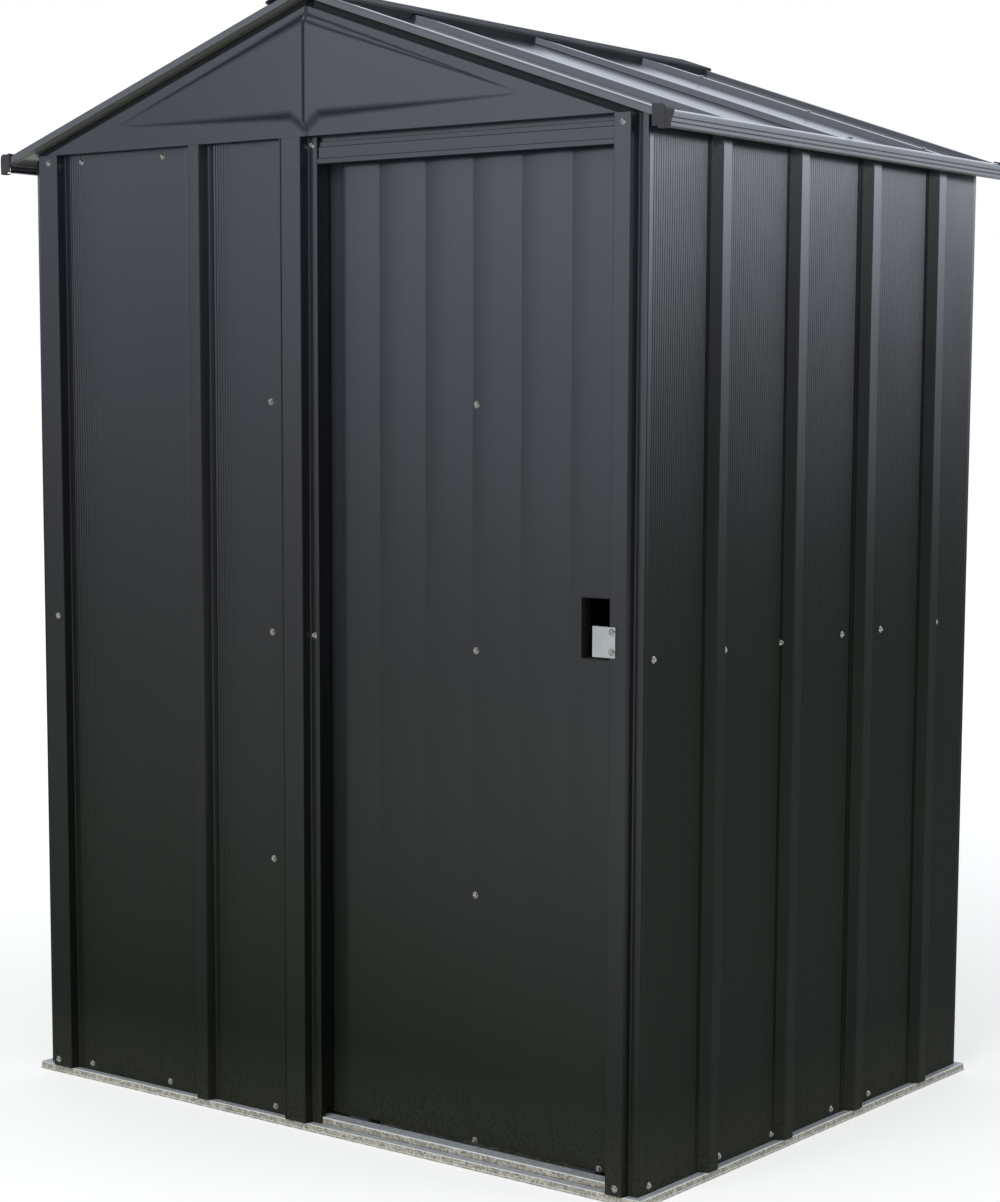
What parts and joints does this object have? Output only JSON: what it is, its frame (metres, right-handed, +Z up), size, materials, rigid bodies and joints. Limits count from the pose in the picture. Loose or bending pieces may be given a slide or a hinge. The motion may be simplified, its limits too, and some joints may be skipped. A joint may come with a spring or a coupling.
{
  "type": "metal tool shed",
  "caption": "Small gable-roofed garden tool shed of ribbed, dark painted sheet steel on a galvanised base frame, with a sliding door that runs behind the fixed front sheet.",
  "frame": {"origin": "on the ground at the middle of the footprint, under the middle of the roof", "axes": "+Z up, front with the door faces -Y, +X to the right of someone facing the front"},
  "size_m": [1.4004, 1.072, 1.8525],
  "materials": {
    "painted_steel": "satin",
    "painted_roof": "satin",
    "galvanised_steel": "spangled",
    "moulded_plastic": "matte"
  },
  "bodies": {
    "shed": {"base_angle_front": "galvanised_steel", "base_rail_front": "galvanised_steel", "base_rail_left": "galvanised_steel", "base_rail_rear": "galvanised_steel", "base_rail_right": "galvanised_steel", "corner_column_left": "painted_steel", "door_header": "painted_steel", "door_jamb_left": "painted_steel", "door_jamb_right": "painted_steel", "door_rail_top": "painted_steel", "door_track": "galvanised_steel", "eave_trim_left": "painted_steel", "eave_trim_right": "painted_steel", "gable_front_left": "painted_steel", "gable_front_right": "painted_steel", "gable_rear_left": "painted_steel", "gable_rear_right": "painted_steel", "hasp_plate": "galvanised_steel", "rake_trims_front": "painted_steel", "rake_trims_rear": "painted_steel", "ridge_cap": "painted_roof", "roof_beams": "painted_steel", "roof_corner_caps": "moulded_plastic", "roof_left_front": "painted_roof", "roof_left_rear": "painted_roof", "roof_right_front": "painted_roof", "roof_right_rear": "painted_roof", "wall_brace_rear": "painted_steel", "wall_braces_side": "painted_steel", "wall_front": "painted_steel", "wall_left_front": "painted_steel", "wall_left_rear": "painted_steel", "wall_rail_rear": "painted_steel", "wall_rails_side": "painted_steel", "wall_rear_left": "painted_steel", "wall_rear_right": "painted_steel", "wall_right_front": "painted_steel", "wall_right_rear": "painted_steel"},
    "door": {"door_braces": "painted_steel", "door_channel_bottom": "painted_steel", "door_channel_top": "painted_steel", "door_glides": "moulded_plastic", "door_handle": "painted_steel", "door_sheet": "painted_steel", "door_shoes": "moulded_plastic"}
  },
  "joints": [
    {"name": "door_slide", "type": "slide", "parent": "shed", "child": "door", "axis": [-1, 0, 0], "range_m": [0, 0.56]}
  ]
}
